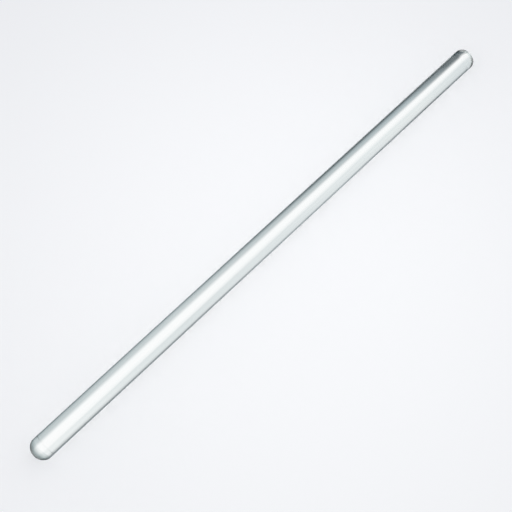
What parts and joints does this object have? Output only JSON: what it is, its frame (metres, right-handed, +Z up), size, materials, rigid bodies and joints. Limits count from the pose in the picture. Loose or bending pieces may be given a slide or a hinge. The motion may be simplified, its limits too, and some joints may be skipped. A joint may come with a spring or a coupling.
{
  "type": "glass stirring rod",
  "caption": "Slim solid glass rod with both ends rounded in a flame, held in the fingers to stir liquids.",
  "frame": {"origin": "on the rod's axis at mid-length", "axes": "+X along the rod from the stirring end to the upper end, +Z up, the rod lying level"},
  "size_m": [0.155, 0.006, 0.006],
  "materials": {
    "drawn_glass": "clear drawn glass with a faint grey-green cast, smooth, its ends melted round in a flame"
  },
  "bodies": {
    "root": {"stirring_rod": "drawn_glass"}
  },
  "joints": []
}
